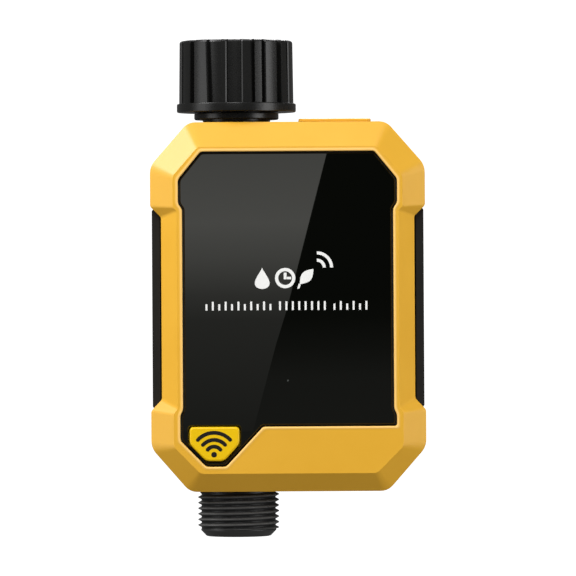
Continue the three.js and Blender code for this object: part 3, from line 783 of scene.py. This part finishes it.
def swivel_nut():
    angles = nut_angles()
    bm = bmesh.new()

    def side(height, in_by=0.0):
        down = (nut_top - height) / (nut_top - nut_skirt)

        def row(a):
            lean, out = land_height(a, down)
            land = nut_land_radius + 0.25 * down
            return nut_floor_radius + (land - nut_floor_radius) * out - in_by, height, lean

        return row

    rows = [side(nut_top - 0.05, 0.9), side(nut_top - 0.15, 0.5), side(nut_top - 0.38, 0.17), side(nut_top - 0.75),
            side(nut_top - 1.0)]
    rows += [side(nut_top - 1.0 - (nut_top - 1.0 - nut_skirt) * i / 5) for i in range(1, 6)]
    rows += [
        (nut_flange_radius - 0.35, nut_skirt), (nut_flange_radius - 0.1, nut_skirt - 0.12),
        (nut_flange_radius, nut_skirt - 0.4), (nut_flange_radius, nut_bottom + 0.4),
        (nut_flange_radius - 0.1, nut_bottom + 0.12), (nut_flange_radius - 0.4, nut_bottom),
        (10.8, nut_bottom), (10.6, nut_bottom + 0.2), (10.6, nut_bottom + 3.2), (12.95, nut_bottom + 3.2),
        (12.95, nut_bottom + 10.4),
    ]
    thread_bottom = nut_bottom + 10.6
    thread_top = nut_top - 1.4
    count = int((thread_top - thread_bottom) / tap_thread_pitch * 6)

    def inner_thread(height):
        def row(a):
            phase = (height / tap_thread_pitch - a / 360) % 1
            crest = max(0.0, 1 - abs(phase - 0.5) / 0.36)
            fade = min(1.0, (height - thread_bottom) / 1.2, (thread_top - height) / 1.2)
            return 13.15 - 1.0 * crest * max(0.0, fade), height
        return row

    rows += [inner_thread(thread_bottom + (thread_top - thread_bottom) * i / count) for i in range(count + 1)]
    rows += [(13.3, nut_top - 0.9), (14.0, nut_top - 0.15), (14.3, nut_top - 0.02)]
    turned_rings(bm, rows, angles)
    return finish_mesh("swivel_nut", bm, 24, "tap_nut", "black_fitting", black_nylon, "inlet_nut")


def stepped_collar():
    low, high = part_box("inlet_collar")
    bottom, top, radius = low.z / MM, high.z / MM, high.x / MM
    step = bottom + 0.6
    rows = [
        (10.25, bottom), (10.9, bottom), (11.0, bottom + 0.1), (11.0, step), (radius - 0.3, step),
        (radius, step + 0.3), (radius, top - 0.35), (radius - 0.1, top - 0.1), (radius - 0.35, top), (10.25, top),
    ]
    bm = bmesh.new()
    turned_rings(bm, rows, even_angles(96))
    return finish_mesh("stepped_collar", bm, 32, "case", "black_fitting", black_nylon, "inlet_collar")


black_nylon = moulded_black_nylon("moulded_black_nylon", 0.007, 0.02, (0.24, 0.32))
swivel_nut()
stepped_collar()
dress(black_nylon, "inlet_tailpiece")


# ---------------------------------------------------------------------- outlet
# The hose connection is one black nylon moulding: a socket for the valve, a neck through the case, and
# a G3/4 male thread with a tapered lead-in and a flat sealing face at its end.
outlet_low, outlet_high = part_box("outlet_fitting")
outlet_end = outlet_low.z / MM
outlet_top = outlet_high.z / MM
outlet_crest = 13.22
outlet_root = 12.06
outlet_bore = 6.5
case_bottom = case_centre.z / MM - case_half_height


def hose_outlet():
    first = case_bottom - 0.5
    last = outlet_end + 2.3
    steps_per_turn = 14
    count = int((first - last) / tap_thread_pitch * steps_per_turn)

    def thread(height):
        def row(a):
            phase = (height / tap_thread_pitch - a / 360) % 1
            crest = (0.5 - 0.5 * math.cos(2 * math.pi * phase)) ** 1.3
            fade = max(0.0, min(1.0, (first - height) / 0.5, (height - last) / 0.5 + 0.2))
            return outlet_root + (outlet_crest - outlet_root) * crest * fade, height
        return row

    rows = [(outlet_bore, outlet_top), (10.3, outlet_top), (10.3, outlet_top - 5.3), (12.2, outlet_top - 5.3),
            (12.2, outlet_top - 8), (8.7, outlet_top - 10), (8.7, case_bottom + 7), (12.1, case_bottom + 4),
            (outlet_root, first + 0.05)]
    rows += [thread(first - (first - last) * i / count) for i in range(count + 1)]
    rows += [
        (12.3, last - 0.15), (12.2, last - 0.4), (11.5, last - 1.1), (10.9, last - 1.75),
        (10.5, outlet_end + 0.16), (10.0, outlet_end + 0.03), (outlet_bore + 0.4, outlet_end),
        (outlet_bore, outlet_end + 0.4),
    ]
    bm = bmesh.new()
    # Painted light on the thread: the crests carry a value that mixes in a pale grey as a painted highlight, and
    # the roots stay near black as painted shade. The lead-in and end face get a fixed middle tone.
    painted_light = bm.verts.layers.float.new("painted_light")
    turned_rings(bm, rows, even_angles(96))
    for vert in bm.verts:
        radius, height = math.hypot(vert.co.x, vert.co.y) / MM, vert.co.z / MM
        vert[painted_light] = max(0.0, min(1.0, (radius - outlet_root) / (outlet_crest - outlet_root)))
        if height < last - 0.3 and radius > outlet_bore + 0.1:
            vert[painted_light] = 0.35
    piece = make_object("hose_outlet", bm)
    settle(piece, 40)
    # The near black base is painted shade for the thread roots, and the light grey is a painted highlight for the
    # crests.
    satin_nylon = moulded_black_nylon("satin_black_nylon", 0.0025, 0.105, (0.36, 0.44))
    return finish_piece(piece, "case", "black_fitting", satin_nylon, "outlet_fitting")


hose_outlet()


# ------------------------------------------------------------------- fasteners
# Zinc plated self-tapping screws with pan heads and cross recesses. Four long ones close the case from
# behind, and the shorter ones hold the board and the gearbox.
def zinc_steel():
    material, principled = shader("zinc_steel", (0.52, 0.53, 0.54), 0.3, 1.0)
    return grain(material, principled, 0.5, 0.004, ((0.47, 0.48, 0.5), (0.56, 0.57, 0.57)), (0.24, 0.4))


def case_screw(name, node, material):
    """A pan head in the rear counterbore with a cross recess, and a shank with a coarse thread."""
    low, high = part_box(node)
    centre = (low + high) / 2 / MM
    head_radius = (high.x - low.x) / 2 / MM
    front, back = low.y / MM, high.y / MM
    head = back - 1.9
    sides = 40
    bm = bmesh.new()

    def loop(y, radius):
        points = []
        for i in range(sides):
            a = 2 * math.pi * i / sides
            r = radius(a) if callable(radius) else radius
            points.append((centre.x + r * math.cos(a), centre.z + r * math.sin(a)))
        return [bm.verts.new((x * MM, y * MM, z * MM)) for x, z in points]

    def recess(a):
        turn = (math.degrees(a) + 45) % 90 - 45
        return 1.5 if abs(turn) < 10 else 0.62

    shank, core = 1.45, 1.05
    length = head - front
    rows = [loop(front, 0.25), loop(front + 1.4, core)]
    turns = int(length - 3)
    for i in range(turns * 2):
        y = front + 1.6 + i * (length - 3.4) / (turns * 2)
        rows.append(loop(y, shank if i % 2 else core))
    rows += [loop(head - 1.2, core), loop(head, core), loop(head, head_radius - 0.1), loop(head + 0.3, head_radius),
             loop(head + 0.9, head_radius - 0.1), loop(head + 1.5, head_radius - 0.55),
             loop(back - 0.05, head_radius - 1.2), loop(back, recess), loop(back - 1.0, lambda a: recess(a) * 0.8)]
    loft(bm, rows)
    return finish_mesh(name, bm, 32, "case", "plated_steel", material, node)


zinc = zinc_steel()
for number in (1, 2, 3, 4):
    case_screw(f"long_case_screw_{number}", f"case_screw_{number}", zinc)
dress(zinc, "board_screw_1", "board_screw_2", "board_screw_3", "board_screw_4", "gearbox_screw_1",
      "gearbox_screw_2", "gear_pin", "motor")


# -------------------------------------------------------------- battery drawer
# A yellow cap with a black tray hanging from it slides into the top of the case with four AA cells.
# A rubber seal sits in a groove below the cap, and sprung contacts stand in the bottom of the tray.
cap_low, cap_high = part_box("battery_cap")
cap_top = cap_high.z / MM
plug_bottom = cap_low.z / MM
cap_underside = case_centre.z / MM + case_half_height + 0.12


def block_ring(bm, low, high, inset_by, round_by, z):
    """A rounded rectangle seen from above, in millimetres."""
    points = [(high.x / MM - inset_by, high.y / MM - inset_by), (high.x / MM - inset_by, low.y / MM + inset_by),
              (low.x / MM + inset_by, low.y / MM + inset_by), (low.x / MM + inset_by, high.y / MM - inset_by)]
    return [bm.verts.new((x * MM, y * MM, z * MM)) for x, y in rounded(points, round_by, 5)]


def battery_cap():
    bm = bmesh.new()
    tray_low, tray_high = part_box("battery_tray")
    levels = [
        (tray_low, tray_high, 0.05, 1.2, plug_bottom), (tray_low, tray_high, 0.05, 1.2, cap_underside),
        (cap_low, cap_high, 0.2, 1.5, cap_underside), (cap_low, cap_high, 0.0, 1.5, cap_underside + 0.15),
        (cap_low, cap_high, 0.0, 1.5, cap_top - 0.42), (cap_low, cap_high, 0.12, 1.5, cap_top - 0.24),
        (cap_low, cap_high, 0.42, 1.4, cap_top - 0.13), (cap_low, cap_high, 0.9, 1.2, cap_top - 0.12),
    ]
    rings = [block_ring(bm, *level) for level in levels]
    loft(bm, rings)
    middle = (cap_low + cap_high) / 2 / MM
    for step in range(5):
        y = middle.y + (step - 2) * 2.2
        bottom = Vector((middle.x - 6, y - 0.45, 0)) * MM
        top = Vector((middle.x + 6, y + 0.45, 0)) * MM
        foot = block_ring(bm, bottom, top, 0.0, 0.4, cap_top - 0.2)
        rim = block_ring(bm, bottom, top, 0.15, 0.3, cap_top)
        wall_between(bm, foot, rim)
        bm.faces.new(foot)
        bm.faces.new(rim)
    return finish_mesh("drawer_cap", bm, 32, "battery_drawer", "yellow_case", yellow_case, "battery_cap")


def printed_sleeve():
    """Shrink sleeve in dark blue with a copper coloured end band and bare steel ends."""
    material, principled = shader("printed_sleeve", (0.02, 0.06, 0.16), 0.28, IOR=1.5)
    grain(material, principled, 3, 0.003, None, (0.22, 0.34))
    nodes = material.node_tree.nodes
    link = material.node_tree.links.new
    place = nodes.new("ShaderNodeUVMap")
    place.uv_map = "along"
    split = nodes.new("ShaderNodeSeparateXYZ")
    bands = nodes.new("ShaderNodeValToRGB")
    bands.color_ramp.interpolation = "CONSTANT"
    steel_color, sleeve_color, band_color = (0.6, 0.6, 0.6, 1), (0.02, 0.06, 0.16, 1), (0.62, 0.3, 0.12, 1)
    stops = bands.color_ramp.elements
    stops[0].position, stops[0].color = 0.0, steel_color
    stops[1].position, stops[1].color = 0.012, sleeve_color
    for position, color in ((0.7, (0.7, 0.7, 0.68, 1)), (0.71, band_color), (0.955, steel_color)):
        stops.new(position).color = color
    metal = nodes.new("ShaderNodeValToRGB")
    metal.color_ramp.interpolation = "CONSTANT"
    stops = metal.color_ramp.elements
    stops[0].position, stops[0].color = 0.0, (1, 1, 1, 1)
    stops[1].position, stops[1].color = 0.012, (0, 0, 0, 1)
    stops.new(0.955).color = (1, 1, 1, 1)
    link(place.outputs["UV"], split.inputs["Vector"])
    link(split.outputs["Y"], bands.inputs["Fac"])
    link(split.outputs["Y"], metal.inputs["Fac"])
    link(bands.outputs["Color"], principled.inputs["Base Color"])
    link(metal.outputs["Color"], principled.inputs["Metallic"])
    return material


def dry_cell(name, node, material):
    low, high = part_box(node)
    centre = (low + high) / 2 / MM
    bottom, top = low.z / MM, high.z / MM
    radius = (high.x - low.x) / 2 / MM
    shoulder = top - 1.4
    rows = [
        (0.4, bottom + 0.2), (radius - 2.2, bottom + 0.2), (radius - 2, bottom), (radius - 0.6, bottom),
        (radius - 0.45, bottom + 0.4), (radius, bottom + 0.62), (radius, shoulder - 0.7),
        (radius - 0.2, shoulder - 0.25), (radius - 0.6, shoulder - 0.05), (radius - 1, shoulder),
        (3.0, shoulder), (2.7, shoulder + 0.15), (2.7, top - 0.25), (2.4, top), (0.4, top),
    ]
    sides = 48
    bm = bmesh.new()
    loops = []
    for r, z in rows:
        loops.append([bm.verts.new(((centre.x + r * math.cos(2 * math.pi * i / sides)) * MM,
                                    (centre.y + r * math.sin(2 * math.pi * i / sides)) * MM, z * MM))
                      for i in range(sides)])
    loft(bm, loops)
    along = bm.loops.layers.uv.new("along")
    for face in bm.faces:
        for corner in face.loops:
            corner[along].uv = (0.5, (corner.vert.co.z / MM - bottom) / (top - bottom))
    return finish_mesh(name, bm, 32, "battery_drawer", "cell", material, node)


battery_cap()
sleeve = printed_sleeve()
for number in (1, 2, 3, 4):
    dry_cell(f"dry_cell_{number}", f"battery_cell_{number}", sleeve)
dress(black_case, "battery_tray", "battery_chamber", "tact_switch")
dress(zinc, "contact_spring_1", "contact_spring_2", "contact_bridge")


# ----------------------------------------------------------------- electronics
# A glass epoxy board behind the panel carries the push switch, a screened radio module, the status
# light and a storage capacitor. Solder mask covers copper tracks.
def solder_mask():
    material, principled = shader("solder_mask", (0.012, 0.11, 0.04), 0.35, IOR=1.5)
    nodes = material.node_tree.nodes
    link = material.node_tree.links.new
    place = nodes.new("ShaderNodeTexCoord")
    turn = nodes.new("ShaderNodeMapping")
    turn.inputs["Rotation"].default_value = (math.radians(90), 0, 0)
    tracks = nodes.new("ShaderNodeTexBrick")
    tracks.inputs["Scale"].default_value = 160
    tracks.inputs["Mortar Size"].default_value = 0.06
    tracks.inputs["Color1"].default_value = (0.010, 0.095, 0.035, 1)
    tracks.inputs["Color2"].default_value = (0.014, 0.12, 0.045, 1)
    tracks.inputs["Mortar"].default_value = (0.03, 0.22, 0.07, 1)
    rise = nodes.new("ShaderNodeBump")
    rise.inputs["Distance"].default_value = 0.03 * MM
    link(place.outputs["Object"], turn.inputs["Vector"])
    link(turn.outputs["Vector"], tracks.inputs["Vector"])
    link(tracks.outputs["Color"], principled.inputs["Base Color"])
    link(tracks.outputs["Fac"], rise.inputs["Height"])
    link(rise.outputs["Normal"], principled.inputs["Normal"])
    return material


def clear_lens():
    material, principled = shader("clear_lens", (0.8, 0.9, 0.82), 0.12, IOR=1.5)
    principled.inputs["Transmission Weight"].default_value = 0.5
    return grain(material, principled, 2, 0.002, None, (0.08, 0.16))


def aluminium_can():
    material, principled = shader("aluminium_can", (0.05, 0.05, 0.055), 0.3)
    return grain(material, principled, 1.5, 0.003, ((0.03, 0.03, 0.035), (0.06, 0.06, 0.065)), (0.22, 0.36))


dress(solder_mask(), "circuit_board")
dress(zinc, "wireless_module")
dress(clear_lens(), "status_led")
dress(aluminium_can(), "reservoir_capacitor")


# ------------------------------------------------------------ valve and gears
# A chromed ball turns between two PTFE seats in a white nylon body. A small motor drives it through
# nylon spur gears, from a brass pinion to a brass stem with a square end.
def white_nylon_moulding():
    material, principled = shader("white_nylon_moulding", (0.72, 0.70, 0.64), 0.42)
    return grain(material, principled, 0.6, 0.006, ((0.68, 0.66, 0.6), (0.76, 0.74, 0.69)), (0.34, 0.5))


def sintered_ptfe():
    material, principled = shader("sintered_ptfe", (0.86, 0.86, 0.83), 0.5)
    return grain(material, principled, 0.4, 0.005, ((0.83, 0.83, 0.8), (0.89, 0.89, 0.87)), (0.44, 0.6))


def hard_chrome():
    material, principled = shader("hard_chrome", (0.78, 0.79, 0.8), 0.08, 1.0)
    return grain(material, principled, 4, 0.0008, None, (0.05, 0.12))


def turned_brass():
    material, principled = shader("turned_brass", (0.68, 0.47, 0.17), 0.28, 1.0)
    tints = ((0.62, 0.42, 0.15), (0.73, 0.52, 0.2))
    return grain(material, principled, 0.25, 0.004, tints, (0.22, 0.36), detail=3.0, stretch=(8, 1, 1))


def woven_steel():
    """Fine wire mesh of the inlet filter."""
    material, principled = shader("woven_steel", (0.5, 0.5, 0.5), 0.35, 1.0)
    nodes = material.node_tree.nodes
    link = material.node_tree.links.new
    place = nodes.new("ShaderNodeTexCoord")
    weave = nodes.new("ShaderNodeTexChecker")
    weave.inputs["Scale"].default_value = 1 / (0.35 * MM)
    weave.inputs["Color1"].default_value = (0.6, 0.6, 0.6, 1)
    weave.inputs["Color2"].default_value = (0.08, 0.08, 0.08, 1)
    rise = nodes.new("ShaderNodeBump")
    rise.inputs["Distance"].default_value = 0.1 * MM
    link(place.outputs["Object"], weave.inputs["Vector"])
    link(weave.outputs["Color"], principled.inputs["Base Color"])
    link(weave.outputs["Fac"], rise.inputs["Height"])
    link(rise.outputs["Normal"], principled.inputs["Normal"])
    return material


nylon = white_nylon_moulding()
dress(nylon, "valve_body", "gearbox_base", "gearbox_cover", "valve_gear", "reduction_gear")
dress(sintered_ptfe(), "ball_seat_upper", "ball_seat_lower")
dress(hard_chrome(), "valve_ball")
dress(turned_brass(), "valve_stem", "motor_pinion")
dress(woven_steel(), "filter_screen")


# ---------------------------------------------------------------------- studio
# A white sweep that glows, a soft light high on the left, and weaker ones above, on both sides, in front
# and behind. Two glowing cards behind the camera give the polished panel the slanted glare it reflects.
camera_distance = 1.78
picture_width = 0.1878
camera_target = Vector((case_centre.x, 0, case_centre.z + 6.0 * MM))
camera_data = bpy.data.cameras.new("camera")
camera_data.sensor_width = 36
camera_data.lens = 36 * camera_distance / picture_width
camera_data.clip_start = 0.05
camera = bpy.data.objects.new("camera", camera_data)
camera.location = camera_target + Vector((0, -camera_distance, 0))
camera.rotation_euler = (math.radians(90), math.radians(0.33), 0)
bpy.context.collection.objects.link(camera)
bpy.context.scene.camera = camera
bpy.context.scene.view_settings.view_transform = "Standard"


def soft_light(name, direction, distance, size, power):
    data = bpy.data.lights.new(name, "AREA")
    data.shape = "RECTANGLE"
    data.size, data.size_y = size
    data.energy = power
    light = bpy.data.objects.new(name, data)
    towards = Vector(direction).normalized()
    light.location = case_centre + towards * distance
    light.rotation_euler = towards.to_track_quat("Z", "Y").to_euler()
    bpy.context.collection.objects.link(light)


soft_light("key", (-0.727, -0.3, 0.632), 0.9, (0.3, 0.3), 5.4)
soft_light("top", (0.0, -0.4, 0.9), 1.0, (1.1, 0.5), 3.2)
soft_light("left", (-1, -0.4, 0.0), 1.0, (0.5, 1.1), 3.6)
soft_light("right", (1, -0.55, 0.0), 1.0, (0.5, 1.0), 6.2)
soft_light("front", (-0.08, -1, 0.55), 1.6, (0.6, 0.5), 7.5)
soft_light("back", (0.2, 1, 0.9), 1.3, (0.6, 0.6), 7)

world = bpy.data.worlds.new("studio_world")
bpy.context.scene.world = world
world.use_nodes = True
world_nodes = world.node_tree.nodes
seen = world_nodes.new("ShaderNodeLightPath")
strength = world_nodes.new("ShaderNodeMapRange")
strength.inputs["To Min"].default_value = 0.14
strength.inputs["To Max"].default_value = 1.0
world_nodes["Background"].inputs["Color"].default_value = (1, 1, 1, 1)
world.node_tree.links.new(seen.outputs["Is Camera Ray"], strength.inputs["Value"])
world.node_tree.links.new(strength.outputs["Result"], world_nodes["Background"].inputs["Strength"])


def white_sweep():
    """Floor and backdrop in one sheet, with a wide bend between them."""
    floor_z = cad_low.z - 2.6
    back_y = 4.0
    bend = 0.8
    profile = [(-5.0, floor_z), (back_y - bend, floor_z)]
    for i in range(1, 13):
        a = math.radians(90 * i / 12)
        profile.append((back_y - bend + bend * math.sin(a), floor_z + bend * (1 - math.cos(a))))
    profile.append((back_y, 6.0))
    bm = bmesh.new()
    sides = [[bm.verts.new((x, y, z)) for y, z in profile] for x in (-8, 8)]
    for i in range(len(profile) - 1):
        bm.faces.new((sides[0][i], sides[0][i + 1], sides[1][i + 1], sides[1][i]))
    sweep = make_object("white_sweep", bm)
    sweep.data.shade_smooth()
    material, principled = shader("white_paper", (0.9, 0.9, 0.9), 0.9)
    principled.inputs["Emission Color"].default_value = (1, 1, 1, 1)
    principled.inputs["Emission Strength"].default_value = 0.95
    sweep.data.materials.append(material)
    sweep.visible_diffuse = False
    sweep.visible_glossy = False


def reflected_card(name, card_y, outline, glow_by_height, strength):
    """A glowing card behind the camera, given by what the panel shows of it, in millimetres about the middle."""
    reach = (1 + (abs(card_y) + panel_low.y) / (camera_distance + panel_low.y)) * MM
    low = min(z for _, z in outline)
    high = max(z for _, z in outline)
    bm = bmesh.new()
    face = bm.faces.new([bm.verts.new((camera_target.x + x * reach, card_y, camera_target.z + z * reach))
                         for x, z in outline])
    place_layer = bm.loops.layers.uv.new("height")
    for loop, (_, z) in zip(face.loops, outline):
        loop[place_layer].uv = (0.5, (z - low) / (high - low))
    bmesh.ops.triangulate(bm, faces=[face])
    card = make_object(name, bm)
    material = bpy.data.materials.new(name)
    material.use_nodes = True
    nodes = material.node_tree.nodes
    link = material.node_tree.links.new
    nodes.clear()
    out = nodes.new("ShaderNodeOutputMaterial")
    glow = nodes.new("ShaderNodeEmission")
    glow.inputs["Strength"].default_value = strength
    ramp = nodes.new("ShaderNodeValToRGB").color_ramp
    place = nodes.new("ShaderNodeUVMap")
    place.uv_map = "height"
    split = nodes.new("ShaderNodeSeparateXYZ")
    link(place.outputs["UV"], split.inputs["Vector"])
    link(split.outputs["Y"], nodes["Color Ramp"].inputs["Fac"])
    link(nodes["Color Ramp"].outputs["Color"], glow.inputs["Color"])
    link(glow.outputs["Emission"], out.inputs["Surface"])
    stops = [ramp.elements[0], ramp.elements[1]]
    stops += [ramp.elements.new(position) for position, _ in glow_by_height[1:-1]]
    for stop, (position, value) in zip(sorted(stops, key=lambda stop: stop.position), glow_by_height):
        stop.position = position
        stop.color = (value, value, value * 0.93, 1)
    card.data.materials.append(material)
    card.visible_camera = False
    card.visible_diffuse = False
    card.visible_shadow = False


white_sweep()
reflected_card(
    "glowing_card", -2.2,
    [(12.7, 43.4), (0.3, -3.2), (-0.6, -7.5), (-5.1, -21.7), (-8.8, -35.8), (-11.5, -46), (-45, -46), (-45, 43.4)],
    [(0, 0.14), (0.29, 0.155), (0.4, 0.245), (0.49, 0.38), (0.63, 0.73), (0.75, 0.96), (1, 0.8)], 1.6,
)
reflected_card(
    "grey_card", -2.25, [(50, 60), (50, -60), (-60, -60), (-60, 60)],
    [(0, 0.19), (0.2, 0.19), (0.26, 0.16), (0.34, 0.09), (0.42, 0.042), (0.48, 0.028), (1, 0.028)], 1.0,
)
